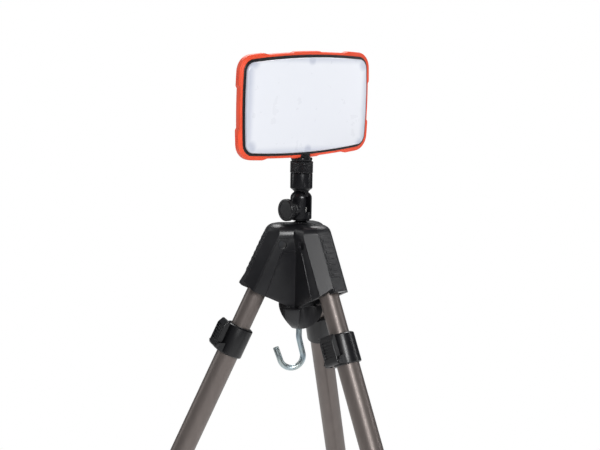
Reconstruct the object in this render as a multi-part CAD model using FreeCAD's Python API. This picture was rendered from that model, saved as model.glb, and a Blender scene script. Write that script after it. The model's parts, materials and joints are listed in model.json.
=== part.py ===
import FreeCAD, Part
import os
from math import acos, cos, hypot, radians, sin, sqrt, tan
from FreeCAD import Placement, Rotation, Vector

# Rechargeable LED panel work light on a folding, telescoping tripod.  Millimetres, +Z up.
# The lamp faces -Y.  The origin is on the ground, under the centre of the bounding box.
# Shapes are made in the hub frame, whose origin is the centre of the hub's flat top, and
# leg shapes in a leg frame: u outwards, v sideways, and s measured down along the leg.

# ------------------------------------------------------------------ driving dimensions
HUB_TOP_HEIGHT = 628.0          # ground to the flat top of the hub
LEG_SPLAY = 24.7                # degrees between a leg and the vertical
LEG_TOP_RADIUS = 13.7           # leg axis to hub axis, in the plane of the hub's top
RUNNING_GAP = 0.05              # radial play of a shaft or a sliding tube
BODY_GAP = 0.4                  # space between pieces that move past each other

# Legs: name, azimuth of the leg and turn of its lock lever about the tube, in degrees
LEGS = [("front", -90.0, -90.0), ("left", 150.0, 10.0), ("right", 30.0, -10.0)]

# Hub
LOBE_OUTER_U = 19.5             # outer face of a lobe
LOBE_OUTER_HALF = 9.0
LOBE_SHOULDER_U = 8.8           # where the slanted face meets the side wall
LOBE_HALF = 21.0
LOBE_RECESS = 1.2               # side walls and inner panels sit this far in
LOBE_INNER_U = -8.0
LOBE_LENGTH = 84.0              # hub top to the square-cut mouth of a lobe, along the leg
LOBE_CORNER_RISE = 5.0          # the mouth's outer corners are cut this much shorter
SEAM_WIDTH = 0.9                # groove round the recess, under the cap and beside the slanted faces
SEAM_DEPTH = 0.8
CREASE_BEAD = 0.7               # radius of the bead round each inner panel
LIP_OUT = 1.5                   # how far the outer wall flares at a lobe's mouth
LIP_LENGTH = 17.0
HUB_EDGE_RADIUS = 12.0
CAP_DEPTH = 14.5                # depth of the smooth cap above the inner panels
CAP_CORNER = 7.0                # rounding of the recess where the cap runs into a lobe
PANEL_DEPTH = 30.0              # where the inner panels reach their full recess
PANEL_TOP_U = -2.5              # edge of the inner panels at that depth, and at the bottom ring
PANEL_LOW_U = -9.5
RING_DEPTH = 104.0              # depth of the bottom ring, below the mouths of the lobes
VALLEY_RADIUS = 16.8            # hub axis to the crease between two lobes
PIVOT_S = 24.0                  # leg pivot, measured down the leg
PIVOT_PIN_RADIUS = 4.0
PIVOT_PIN_HALF = 16.9
HUB_SCREW_RADIUS = 20.5         # hub axis to a lid screw
CORE_RADIUS = 8.5
DOME_RADIUS = 27.0
DOME_DEPTH = 93.5

# Tubes, locks and feet, all measured along the leg
UPPER_TUBE_RADIUS = 11.0
LOWER_TUBE_RADIUS = 12.5
TUBE_WALL = 1.1
UPPER_TUBE_TOP = 40.0
UPPER_TUBE_END = 560.0
LOWER_TUBE_TOP = 131.0
KNUCKLE_RADIUS = 12.4
KNUCKLE_END = 66.0
COLLAR_TOP = 127.0
COLLAR_END = 161.0
COLLAR_RADIUS = 15.6
LEVER_TOP = 126.0
LEVER_HINGE = 155.5
LEVER_HALF_WIDTH = 10.5
LEVER_PIN_RADIUS = 1.5
EAR_OUTER = 13.2                # outer sides of the collar's two hinge ears
LEVER_INNER = 16.0              # tube axis to the inner face of the lever
LEVER_OUTER = 23.2
FOOT_RADIUS = 16.0
FOOT_LENGTH = 46.0

# Weight hook, hanging on the hub axis
HOOK_WIRE_RADIUS = 3.3
HOOK_TOP = -98.0
HOOK_BOWL_RADIUS = 13.3         # bend radius of the wire's centre line
HOOK_BOWL_X = 8.3               # hub axis to the bowl's centre
HOOK_BOWL_Z = -152.3
HOOK_LEAN = 14.0                # degrees, of the shank above the bowl
HOOK_TIP_LEAN = 20.0
HOOK_TIP_LENGTH = 16.0
HOOK_AZIMUTH = 148.5            # direction of the tip

# Swivel head, heights above the hub's top
TILT_HEIGHT = 15.8
FORK_BASE = 3.2
FORK_SHOULDER = 4.8             # underside of the fork's full width
FORK_RADIUS = 12.0
FORK_TOP = 35.6
FORK_ROUNDING = 7.5             # rounding of the fork's top edge
FORK_ARCH = 10.0                # corner radius of the ears, seen from the side
FORK_FLAT = 11.2                # hub axis to the flat side of the ear with the nut
FORK_PAD = 13.6                 # hub axis to the flat of the pad under the knob
FORK_PAD_RADIUS = 9.0
SLOT_WIDTH = 7.0
SLOT_ROOM = 6.3                 # half of the room for the tongue, all through its swing
TILT_RANGE = 72.0               # degrees each way that the slot leaves free
TONGUE_THICKNESS = 5.0
TONGUE_RADIUS = 5.8
NECK_RADIUS = 9.8               # round neck between the tongue and the barrel
TONGUE_SHOULDER = 30.0          # above this the tongue is as wide as the neck
WASHER_THICKNESS = 0.7
BARREL_BOTTOM = 38.0
BARREL_RADIUS = 12.4
KNURL_BOTTOM = 56.4
KNURL_TOP = 69.0
KNURL_RADIUS = 12.8
SEAT_TOP = 73.4
SEAT_RADIUS = 11.8
STUD_RADIUS = 3.15              # 1/4 inch camera stud
FORK_STUD_TOP = 8.6
CLAMP_BOLT_RADIUS = 2.5
KNOB_RADIUS = 12.3
KNOB_THICKNESS = 10.0

# Lamp head: the outline is a rounded rectangle with bowed sides
LAMP_HEIGHT = 132.2             # centre of the lamp above the hub's top
LENS_HALF_WIDTH = 87.6
LENS_HALF_HEIGHT = 51.6
SIDE_BOW_RADIUS = 620.0         # bend radius of the left and right edges
TOP_BOW_RADIUS = 850.0          # bend radius of the top and bottom edges
CORNER_RADIUS = 10.6
GASKET_OFFSET = 3.1             # outer edge of the gasket outside the lens
BUMPER_OFFSET = 5.8
GUARD_OFFSET = 7.8              # outer edge of the corner guards
MIDDLE_GUARD_OFFSET = 6.8
LENS_FRONT = -10.0              # depths: the front is -Y, and 0 is over the hub axis
LENS_DOME = 2.2
GASKET_FRONT = -7.4
BUMPER_FRONT = -6.6
BUMPER_BACK = 1.8
HOUSING_BACK = 22.0
HOUSING_WALL = 2.2
TAPER_BACK = 13.0               # the housing narrows to here, and the battery pod stands on it
TAPER_OFFSET = -7.5
POD_HALF_WIDTH = 72.0
POD_LOW, POD_HIGH = -33.0, 29.0 # bottom and top of the pod, from the lamp's centre
POD_CORNER = 8.0
LAMP_TILT = 3.4                 # degrees; the lamp's face looks slightly down,
LAMP_ROLL = -2.2                # and its right end stands slightly higher

# Guards on the bumper: regions, as (x, z) from the lamp's centre, where the frame is thicker
CORNER_GUARD = [(-66.0, 70.0), (-66.0, 58.3), (-50.0, 54.3), (-50.0, 40.0), (-75.0, 17.0),
                (-90.0, 17.0), (-97.0, 27.0), (-110.0, 27.0), (-110.0, 70.0)]
MIDDLE_GUARD = [(-12.5, 70.0), (-12.5, 60.1), (-22.0, 56.3), (-22.0, 45.0),
                (22.0, 45.0), (22.0, 56.3), (12.5, 60.1), (12.5, 70.0)]
RIB_COUNT = 5                   # ribs on the side of each corner guard
RIB_PITCH = 2.6
RIB_START = 30.0                # first rib, above or below the lamp's centre

# Fittings in the back of the lamp, as (x, z)
SCREW_PLACES = [(x, LAMP_HEIGHT + z) for x in (-60.0, 60.0) for z in (-22.5, 22.5)]
BUTTON_PLACE = (-34.0, LAMP_HEIGHT - 20.0)
BUTTON_RADIUS = 7.0
PORT_PLACE = (36.0, LAMP_HEIGHT - 22.0)
PORT_HINGE_Y = HOUSING_BACK + 1.2
PORT_HINGE_RISE = 6.0           # flap hinge above the middle of the port
FLAP_PIN_RADIUS = 0.8
SOCKET_RADIUS = 4.6
SOCKET_TOP = 90.4
CELL_RADIUS = 9.0               # 18 mm lithium cells
CELL_LENGTH = 65.0
CELL_Y = 10.7
CELL_Z = LAMP_HEIGHT + 8.0
BOSS_PLACES = [(x, LAMP_HEIGHT + z) for x in (-73.5, 73.5) for z in (-39.5, 39.5)]
LED_ROWS, LED_COLUMNS = 5, 10
LED_PITCH_X, LED_PITCH_Z = 15.2, 16.5

# ------------------------------------------------------------------ worked-out places
SPLAY = radians(LEG_SPLAY)
FOOT_S = HUB_TOP_HEIGHT / cos(SPLAY)
FOOT_PLACE = LEG_TOP_RADIUS + HUB_TOP_HEIGHT * tan(SPLAY)
SOLE_LONG = FOOT_RADIUS / cos(SPLAY)
FRONT_REACH = FOOT_PLACE + SOLE_LONG
BACK_REACH = FOOT_PLACE * sin(radians(30)) + hypot(SOLE_LONG * 0.5, FOOT_RADIUS * cos(radians(30)))
HUB_AXIS_Y = (FRONT_REACH - BACK_REACH) / 2
PIVOT_RADIUS = LEG_TOP_RADIUS + PIVOT_S * sin(SPLAY)
PIVOT_Z = -PIVOT_S * cos(SPLAY)
LOWER_TUBE_END = FOOT_S - 20.0
X_AXIS, Y_AXIS, Z_AXIS = Vector(1, 0, 0), Vector(0, 1, 0), Vector(0, 0, 1)


# ------------------------------------------------------------------ helpers
def save(name, *shapes):
    """Write one node: the solids of the given shapes, moved from the hub frame to the row frame."""
    solids = [solid for shape in shapes for solid in shape.Solids]
    whole = solids[0] if len(solids) == 1 else Part.makeCompound(solids)
    whole = whole.copy()
    whole.translate(Vector(0, HUB_AXIS_Y, HUB_TOP_HEIGHT))
    whole.exportStep(f"parts/{name}.step")
    print(f"{name:22s} solids {len(solids):3d}  volume {whole.Volume / 1000:9.2f} cm3",
          f"valid {whole.isValid()}")


def box(x0, x1, y0, y1, z0, z1):
    return Part.makeBox(x1 - x0, y1 - y0, z1 - z0, Vector(x0, y0, z0))


def cylinder(radius, start, end):
    """A cylinder between two points."""
    start, end = Vector(*start), Vector(*end)
    return Part.makeCylinder(radius, (end - start).Length, start, end - start)


def tube(outer, inner, start, end):
    return cylinder(outer, start, end).cut(cylinder(inner, start, end))


def fuse(shapes):
    return shapes[0].multiFuse(list(shapes[1:])).removeSplitter()


def turned(shape, degrees_turned, axis=Z_AXIS, centre=(0, 0, 0)):
    copy = shape.copy()
    copy.rotate(Vector(*centre), axis, degrees_turned)
    return copy


def around(shape, count, start=0.0):
    """Copies of a shape, evenly spaced about the Z axis."""
    return [turned(shape, start + 360.0 * i / count) for i in range(count)]


def revolve(profile):
    """Turn a closed (radius, z) profile about the Z axis."""
    wire = Part.makePolygon([Vector(r, 0, z) for r, z in profile + profile[:1]])
    return Part.Face(wire).revolve(Vector(0, 0, 0), Z_AXIS, 360)


def rounded_wire(points, radii):
    """A closed flat wire through 3-D points, with each corner rounded to its own radius."""
    count = len(points)
    corners = []
    for i, corner in enumerate(points):
        before = (points[i - 1] - corner).normalize()
        after = (points[(i + 1) % count] - corner).normalize()
        half = acos(max(-1.0, min(1.0, before.dot(after)))) / 2
        bisector = (before + after).normalize()
        radius = radii[i]
        reach = radius / tan(half)
        middle = corner + bisector * (radius / sin(half) - radius)
        corners.append((corner + before * reach, middle, corner + after * reach))
    edges = []
    for i, (enter, middle, leave) in enumerate(corners):
        if radii[i] > 0:
            edges.append(Part.Arc(enter, middle, leave).toShape())
        following = corners[(i + 1) % count][0]
        if (following - leave).Length > 1e-6:
            edges.append(Part.LineSegment(leave, following).toShape())
    return Part.Wire(edges)


def prism(points, depth, radius=0.0):
    """Extrude a closed outline of 3-D points along a vector, corners rounded to one radius."""
    wire = rounded_wire([Vector(*p) for p in points], [radius] * len(points))
    return Part.Face(wire).extrude(Vector(*depth))


def edges_at(shape, test):
    """Edges whose middle point passes a test."""
    found = []
    for edge in shape.Edges:
        middle = edge.valueAt((edge.FirstParameter + edge.LastParameter) / 2)
        if test(middle):
            found.append(edge)
    return found


def edge_runs_along(edge, axis):
    direction = edge.valueAt(edge.LastParameter) - edge.valueAt(edge.FirstParameter)
    return abs(direction.normalize().dot(axis)) > 0.999


def leg_place(azimuth):
    """Placement that takes a leg-frame shape (x = u, y = v, z = -s) to the hub frame."""
    turn = Rotation(Z_AXIS, azimuth).multiply(Rotation(Y_AXIS, -LEG_SPLAY))
    top = Rotation(Z_AXIS, azimuth).multVec(Vector(LEG_TOP_RADIUS, 0, 0))
    return Placement(top, turn)


def on_leg(shape, azimuth):
    copy = shape.copy()
    copy.Placement = leg_place(azimuth).multiply(copy.Placement)
    return copy


def s_cylinder(radius, s0, s1, u=0.0, v=0.0):
    return cylinder(radius, (u, v, -s0), (u, v, -s1))


def s_tube(outer, inner, s0, s1):
    return s_cylinder(outer, s0, s1).cut(s_cylinder(inner, s0, s1))


# ------------------------------------------------------------------ hub
def lobe_arm():
    """One arm of the hub, in the leg frame, before it is hollowed: a slanted prism with a soft top."""
    outline = [(LOBE_OUTER_U, -LOBE_OUTER_HALF, 20), (LOBE_OUTER_U, LOBE_OUTER_HALF, 20),
               (LOBE_SHOULDER_U, LOBE_HALF, 20), (-60, LOBE_HALF, 20),
               (-60, -LOBE_HALF, 20), (LOBE_SHOULDER_U, -LOBE_HALF, 20)]
    arm = prism(outline, (0, 0, -20 - LOBE_LENGTH))
    arm = on_leg(arm, 0)
    arm = arm.common(box(-6, 120, -40, 40, -110, 0))
    rim = edges_at(arm, lambda p: abs(p.z) < 1e-4 and p.x > -5.9)
    return arm.makeFillet(HUB_EDGE_RADIUS, rim)


def recess_block(depth):
    """The room beside one side wall: below the cap and inward of the slanted face."""
    below = box(-50, 120, -60, 60, -140, -CAP_DEPTH)
    wall = LOBE_HALF - depth
    block = below.common(on_leg(box(-120, LOBE_SHOULDER_U - 0.6, wall, 40, -120, 60), 0))
    corner = edges_at(block, lambda p: abs(p.z + CAP_DEPTH) < 1e-4 and p.x > 0)
    return block.makeFillet(CAP_CORNER, [edge for edge in corner if edge_runs_along(edge, Y_AXIS)])


def arm_cutters():
    """What is taken off an arm below the cap: its inner end, the recessed side walls and their seams."""
    below = box(-50, 120, -60, 60, -140, -CAP_DEPTH)
    inner = on_leg(box(-120, LOBE_INNER_U, -40, 40, -120, 60), 0)
    side = recess_block(LOBE_RECESS)
    seam = recess_block(LOBE_RECESS + SEAM_DEPTH)
    rest = seam.copy()
    inward = SEAM_WIDTH * (1 - sin(SPLAY)) / cos(SPLAY)
    rest.translate(Vector(-inward, 0, -SEAM_WIDTH))
    seam = seam.cut(rest)
    cutters = [below.common(inner)]
    for shape in (side, seam):
        cutters += [shape, shape.mirror(Vector(), Y_AXIS)]
    return cutters


def panel_edge(depth, inner_u):
    """Distance from the hub axis to the outer edge of an inner panel, at one depth below the top."""
    s = (depth + inner_u * sin(SPLAY)) / cos(SPLAY)
    return LEG_TOP_RADIUS + s * sin(SPLAY) + inner_u * cos(SPLAY)


def panel_ring(depth, valley, inner_u):
    """Nine-cornered outline of the hub's inner panels at one depth below the top."""
    edge = panel_edge(depth, inner_u)
    half = LOBE_HALF - LOBE_RECESS
    points = []
    for azimuth in (-90, 30, 150):
        turn = Rotation(Z_AXIS, azimuth)
        points.append(turn.multVec(Vector(edge, -half, -depth)))
        points.append(turn.multVec(Vector(edge, half, -depth)))
        points.append(Rotation(Z_AXIS, azimuth + 60).multVec(Vector(valley, 0, -depth)))
    return Part.makePolygon(points + points[:1])


def crease_beads():
    """Round beads along the upper and outer edges of the inner panels on one side of an arm."""
    half = LOBE_HALF - LOBE_RECESS
    corner = (panel_edge(PANEL_DEPTH, PANEL_TOP_U), half, -PANEL_DEPTH)
    foot = (panel_edge(RING_DEPTH, PANEL_LOW_U), half, -RING_DEPTH)
    valley = (VALLEY_RADIUS * cos(radians(60)), VALLEY_RADIUS * sin(radians(60)), -PANEL_DEPTH)
    ball = Part.makeSphere(CREASE_BEAD, Vector(*corner))
    bead = fuse([cylinder(CREASE_BEAD, corner, foot), cylinder(CREASE_BEAD, corner, valley), ball])
    return [bead, bead.mirror(Vector(), Y_AXIS)]


def leg_pocket():
    """The hollow that a leg swings in, in the frame of a leg at azimuth 0."""
    half = KNUCKLE_RADIUS + 0.5
    pivot = (PIVOT_RADIUS, 0, PIVOT_Z)
    leg_room = on_leg(box(-half, half, -half, half, -110, -PIVOT_S), 0)
    rooms = [turned(leg_room, angle, Y_AXIS, pivot) for angle in (LEG_SPLAY / 2, LEG_SPLAY)]
    rooms.append(leg_room)
    rooms.append(cylinder(half, (PIVOT_RADIUS, -half, PIVOT_Z), (PIVOT_RADIUS, half, PIVOT_Z)))
    return rooms[0].multiFuse(rooms[1:])


def outer_panel():
    """Raised plain panel with grip bars on the outer face of a lobe, and the lip at its mouth."""
    face = LOBE_OUTER_U - 0.5
    parts = [box(face, LOBE_OUTER_U + 0.7, -6.5, 6.5, -68, -20)]
    for i in range(7):
        s = 24.5 + i * 6.5
        parts.append(box(face, LOBE_OUTER_U + 1.4, -4.6, 4.6, -s - 3.0, -s))
    half, end = LOBE_OUTER_HALF - 0.5, LOBE_LENGTH
    rim = LOBE_OUTER_U + LIP_OUT
    lip = prism([(face, -half, -end), (face, -half, -end + LIP_LENGTH), (rim, -half, -end + 2),
                 (rim, -half, -end)], (0, 2 * half, 0))
    return fuse(parts + [lip])


def hub_shell():
    arm = lobe_arm()
    for cutter in arm_cutters():
        arm = arm.cut(cutter)
    corner = prism([(LOBE_SHOULDER_U, LOBE_OUTER_HALF, -LOBE_LENGTH),
                    (LOBE_OUTER_U, LOBE_OUTER_HALF, -LOBE_LENGTH + LOBE_CORNER_RISE),
                    (40, LOBE_OUTER_HALF, -LOBE_LENGTH + LOBE_CORNER_RISE),
                    (40, LOBE_OUTER_HALF, -LOBE_LENGTH - 20),
                    (LOBE_SHOULDER_U, LOBE_OUTER_HALF, -LOBE_LENGTH - 20)], (0, 20, 0))
    for cutter in (corner, corner.mirror(Vector(), Y_AXIS)):
        arm = arm.cut(on_leg(cutter, 0))
    arm = arm.fuse(on_leg(outer_panel(), 0))
    arms = around(arm, 3, -90)
    cap_valley = LOBE_HALF / sin(radians(60)) - 0.9
    cap_ring = panel_ring(CAP_DEPTH, cap_valley, PANEL_TOP_U)
    top_ring = panel_ring(PANEL_DEPTH, VALLEY_RADIUS, PANEL_TOP_U)
    low_ring = panel_ring(RING_DEPTH, VALLEY_RADIUS, PANEL_LOW_U)
    transition = Part.makeLoft([cap_ring, top_ring], True, True)
    panels = Part.makeLoft([top_ring, low_ring], True, True)
    beads = [turned(bead, azimuth) for bead in crease_beads() for azimuth in (-90, 30, 150)]
    body = arms[0].multiFuse(arms[1:] + [transition, panels] + beads)
    below = on_leg(box(-150, 150, -150, 150, -300, -LOBE_LENGTH), 0)
    for cutter in around(below, 3, -90):
        body = body.cut(cutter)
    pin = cylinder(PIVOT_PIN_RADIUS, (PIVOT_RADIUS, -PIVOT_PIN_HALF, PIVOT_Z),
                   (PIVOT_RADIUS, PIVOT_PIN_HALF, PIVOT_Z))
    recess = cylinder(PIVOT_PIN_RADIUS + 0.9, (PIVOT_RADIUS, PIVOT_PIN_HALF, PIVOT_Z),
                      (PIVOT_RADIUS, 30, PIVOT_Z))
    screw_seat = cylinder(3.4, (HUB_SCREW_RADIUS, 0, -2.6), (HUB_SCREW_RADIUS, 0, 5))
    screw_hole = cylinder(1.9, (HUB_SCREW_RADIUS, 0, -6.0), (HUB_SCREW_RADIUS, 0, 0))
    cutters = []
    for azimuth in (-90, 30, 150):
        for shape in (leg_pocket(), pin, recess, recess.mirror(Vector(), Y_AXIS), screw_seat, screw_hole):
            cutters.append(turned(shape, azimuth))
    cutters.append(cylinder(CORE_RADIUS, (0, 0, -130), (0, 0, -6)))
    cutters.append(cylinder(STUD_RADIUS, (0, 0, -10), (0, 0, 10)))
    for cutter in cutters:
        body = body.cut(cutter)
    return body


def hub_core(shell):
    """Central column with a domed foot, channelled so that the folded legs fit beside it."""
    dome = Part.makeSphere(DOME_RADIUS, Vector(0, 0, -DOME_DEPTH))
    dome = dome.common(box(-40, 40, -40, 40, -DOME_DEPTH - DOME_RADIUS - 1, -DOME_DEPTH))
    channel = cylinder(18.5, (27.0, 0, -140), (27.0, 0, -60))
    for cutter in around(channel, 3, -90):
        dome = dome.cut(cutter)
    column = cylinder(CORE_RADIUS, (0, 0, -DOME_DEPTH - 22), (0, 0, -6))
    core = column.fuse(dome).cut(shell)
    core = core.cut(cylinder(STUD_RADIUS, (0, 0, -24), (0, 0, 0)))
    nut_room = cylinder(6.0, (0, 0, HOOK_TOP - 7.4), (0, 0, HOOK_TOP + 0.5))
    shank_hole = cylinder(HOOK_WIRE_RADIUS + RUNNING_GAP, (0, 0, -130), (0, 0, HOOK_TOP))
    return core.cut(nut_room).cut(shank_hole).removeSplitter()


def pan_head_screw(head_radius, head_height, shank_radius, length):
    """A cross-slotted screw whose head stands on z = 0 and whose shank points down."""
    head = cylinder(head_radius, (0, 0, 0), (0, 0, head_height))
    head = head.makeFillet(head_height * 0.45, edges_at(head, lambda p: abs(p.z - head_height) < 1e-6
                                                        and hypot(p.x, p.y) > head_radius * 0.5))
    screw = head.fuse(cylinder(shank_radius, (0, 0, -length), (0, 0, 0)))
    arm, width = head_radius * 0.6, head_radius * 0.14
    for x, y in ((arm, width), (width, arm)):
        screw = screw.cut(box(-x, x, -y, y, head_height * 0.35, head_height + 1))
    return screw.removeSplitter()


def stud_washer():
    return revolve([(STUD_RADIUS, 0.0), (7.8, 0.0), (7.8, 0.6), (5.0, 2.8), (STUD_RADIUS, 2.8)])


# ------------------------------------------------------------------ weight hook
def hook_path():
    """Centre line of the hook's wire in the XZ plane: shank, slight lean, bowl, tip."""
    lean, tip = radians(HOOK_LEAN), radians(HOOK_TIP_LEAN)
    centre = Vector(HOOK_BOWL_X, 0, HOOK_BOWL_Z)
    into = centre + Vector(-cos(lean), 0, sin(lean)) * HOOK_BOWL_RADIUS
    bottom = centre + Vector(0, 0, -HOOK_BOWL_RADIUS)
    out = centre + Vector(cos(tip), 0, -sin(tip)) * HOOK_BOWL_RADIUS
    end = out + Vector(sin(tip), 0, cos(tip)) * HOOK_TIP_LENGTH
    knee = into + Vector(sin(lean), 0, cos(lean)) * (-into.x / sin(lean))
    bend = 25.0
    reach = bend * tan(lean / 2)
    start_bend = knee + Vector(0, 0, reach)
    end_bend = knee + Vector(-sin(lean), 0, -cos(lean)) * reach
    bend_centre = start_bend + Vector(-bend, 0, 0)
    mid_bend = bend_centre + Vector(cos(lean / 2), 0, -sin(lean / 2)) * bend
    return Part.Wire([
        Part.LineSegment(Vector(0, 0, HOOK_TOP), start_bend).toShape(),
        Part.Arc(start_bend, mid_bend, end_bend).toShape(),
        Part.LineSegment(end_bend, into).toShape(),
        Part.Arc(into, bottom, out).toShape(),
        Part.LineSegment(out, end).toShape()])


def weight_hook():
    path = hook_path()
    circle = Part.Wire(Part.Circle(Vector(0, 0, HOOK_TOP), Z_AXIS, HOOK_WIRE_RADIUS).toShape())
    wire = path.makePipeShell([circle], True, False)
    return turned(wire, HOOK_AZIMUTH)


def hook_nut():
    corners = [Vector(5.6 * cos(radians(60 * i)), 5.6 * sin(radians(60 * i)), HOOK_TOP - 6.6)
               for i in range(6)]
    nut = Part.Face(Part.makePolygon(corners + corners[:1])).extrude(Vector(0, 0, 6.4))
    return nut.cut(cylinder(HOOK_WIRE_RADIUS, (0, 0, HOOK_TOP - 10), (0, 0, HOOK_TOP + 1)))


# ------------------------------------------------------------------ one leg, in the leg frame
def leg_knuckle():
    barrel = cylinder(KNUCKLE_RADIUS, (0, -KNUCKLE_RADIUS, -PIVOT_S), (0, KNUCKLE_RADIUS, -PIVOT_S))
    sleeve = s_cylinder(KNUCKLE_RADIUS, PIVOT_S, KNUCKLE_END)
    body = barrel.common(s_cylinder(KNUCKLE_RADIUS, 0, KNUCKLE_END)).fuse(sleeve)
    body = body.cut(s_cylinder(UPPER_TUBE_RADIUS, UPPER_TUBE_TOP, KNUCKLE_END + 1))
    hole = cylinder(PIVOT_PIN_RADIUS + RUNNING_GAP, (0, -20, -PIVOT_S), (0, 20, -PIVOT_S))
    return body.cut(hole).removeSplitter()


def upper_tube():
    return s_tube(UPPER_TUBE_RADIUS, UPPER_TUBE_RADIUS - TUBE_WALL, UPPER_TUBE_TOP, UPPER_TUBE_END)


def slide_bush():
    """Guide at the lower end of the upper tube: a spigot in the tube and a flange in the lower tube."""
    flange = s_cylinder(LOWER_TUBE_RADIUS - TUBE_WALL - RUNNING_GAP, UPPER_TUBE_END, UPPER_TUBE_END + 14)
    spigot = s_cylinder(UPPER_TUBE_RADIUS - TUBE_WALL, UPPER_TUBE_END - 16, UPPER_TUBE_END)
    bore = s_cylinder(UPPER_TUBE_RADIUS - TUBE_WALL - 1.8, UPPER_TUBE_END - 20, UPPER_TUBE_END + 20)
    return flange.fuse(spigot).cut(bore).removeSplitter()


def lower_tube():
    return s_tube(LOWER_TUBE_RADIUS, LOWER_TUBE_RADIUS - TUBE_WALL, LOWER_TUBE_TOP, LOWER_TUBE_END)


def lock_collar():
    """Clamp collar on top of the lower tube, with a stepped mouth and the lever's two hinge ears."""
    profile = [(LOWER_TUBE_RADIUS, -COLLAR_END), (COLLAR_RADIUS - 0.9, -COLLAR_END),
               (COLLAR_RADIUS, -COLLAR_END + 0.9), (COLLAR_RADIUS, -COLLAR_TOP - 1.6),
               (COLLAR_RADIUS - 1.0, -COLLAR_TOP - 0.6), (13.4, -COLLAR_TOP - 0.6),
               (13.4, -COLLAR_TOP), (UPPER_TUBE_RADIUS + RUNNING_GAP, -COLLAR_TOP),
               (UPPER_TUBE_RADIUS + RUNNING_GAP, -LOWER_TUBE_TOP), (LOWER_TUBE_RADIUS, -LOWER_TUBE_TOP)]
    body = revolve(profile)
    pin_x = (LEVER_INNER + LEVER_OUTER) / 2
    inner_y, outer_y = LEVER_HALF_WIDTH + BODY_GAP, EAR_OUTER
    ears = []
    for side in (1, -1):
        ear = prism([(12.8, side * inner_y, -LEVER_HINGE - 4.6), (12.8, side * inner_y, -LEVER_HINGE + 6.0),
                     (pin_x + 1.0, side * inner_y, -LEVER_HINGE + 3.4),
                     (pin_x + 3.0, side * inner_y, -LEVER_HINGE),
                     (pin_x + 0.6, side * inner_y, -LEVER_HINGE - 3.6)],
                    (0, side * (outer_y - inner_y), 0), 0.8)
        ears.append(ear.cut(s_cylinder(12.7, 0, 300)))
    body = body.multiFuse(ears)
    body = body.cut(box(11.4, 30, -0.5, 0.5, -LEVER_HINGE + 3.0, -COLLAR_TOP + 1))
    pin = cylinder(LEVER_PIN_RADIUS, (pin_x, -outer_y, -LEVER_HINGE), (pin_x, outer_y, -LEVER_HINGE))
    return body.cut(pin).removeSplitter()


def lever_pin():
    pin_x = (LEVER_INNER + LEVER_OUTER) / 2
    half = EAR_OUTER - 0.4
    return cylinder(LEVER_PIN_RADIUS, (pin_x, -half, -LEVER_HINGE), (pin_x, half, -LEVER_HINGE))


def lock_lever():
    """Rounded lever plate with a ribbed hollow in its face, and the eye that turns on the pin."""
    pin_x = (LEVER_INNER + LEVER_OUTER) / 2
    half = LEVER_HALF_WIDTH
    side_view = [(LEVER_INNER, -half, -LEVER_HINGE), (LEVER_INNER, -half, -LEVER_TOP - 1.0),
                 (LEVER_INNER + 3.6, -half, -LEVER_TOP), (LEVER_OUTER, -half, -LEVER_TOP - 7.0),
                 (LEVER_OUTER, -half, -LEVER_HINGE)]
    wire = rounded_wire([Vector(*p) for p in side_view], [0, 1.2, 2.0, 5.0, 0])
    plate = Part.Face(wire).extrude(Vector(0, 2 * half, 0))
    eye_radius = (LEVER_OUTER - LEVER_INNER) / 2
    eye = cylinder(eye_radius, (pin_x, -half, -LEVER_HINGE), (pin_x, half, -LEVER_HINGE))
    lever = plate.fuse(eye).removeSplitter()
    corners = edges_at(lever, lambda p: abs(abs(p.y) - half) < 1e-4 and p.x > LEVER_INNER + 0.8)
    lever = lever.makeFillet(1.2, corners)
    hollow = box(LEVER_OUTER - 1.6, LEVER_OUTER + 5, -half + 3.0, half - 3.0, -LEVER_HINGE + 4.5,
                 -LEVER_TOP - 6.5)
    lever = lever.cut(hollow)
    ribs = []
    for i in range(5):
        s = LEVER_TOP + 8.6 + i * 3.4
        ribs.append(box(LEVER_OUTER - 2.0, LEVER_OUTER - 0.5, -half + 3.0, half - 3.0, -s - 1.2, -s))
    lever = lever.multiFuse(ribs)
    curve = s_cylinder(COLLAR_RADIUS + 0.4, 0, 300)
    hole = cylinder(LEVER_PIN_RADIUS + RUNNING_GAP, (pin_x, -20, -LEVER_HINGE), (pin_x, 20, -LEVER_HINGE))
    return lever.cut(curve).cut(hole).removeSplitter()


def foot():
    """Rubber boot over the end of the tube, cut level where it stands on the ground."""
    top = FOOT_S - FOOT_LENGTH
    outline = [(LOWER_TUBE_RADIUS, -top), (LOWER_TUBE_RADIUS + 1.2, -top),
               (LOWER_TUBE_RADIUS + 1.9, -top - 1.0), (LOWER_TUBE_RADIUS + 1.9, -top - 4.0),
               (LOWER_TUBE_RADIUS + 1.2, -top - 5.0), (FOOT_RADIUS - 1.4, -top - 22.0),
               (FOOT_RADIUS, -top - 26.0), (FOOT_RADIUS, -top - 70.0), (0, -top - 70.0),
               (0, -LOWER_TUBE_END), (LOWER_TUBE_RADIUS, -LOWER_TUBE_END)]
    boot = revolve(outline)
    for i in range(3):
        s = top + 29.0 + i * 3.2
        boot = boot.cut(s_tube(FOOT_RADIUS + 1, FOOT_RADIUS - 0.7, s, s + 1.2))
    return boot


def foot_in_place(azimuth):
    placed = on_leg(foot(), azimuth)
    return placed.cut(box(-500, 500, -500, 500, -HUB_TOP_HEIGHT - 100, -HUB_TOP_HEIGHT))


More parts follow.
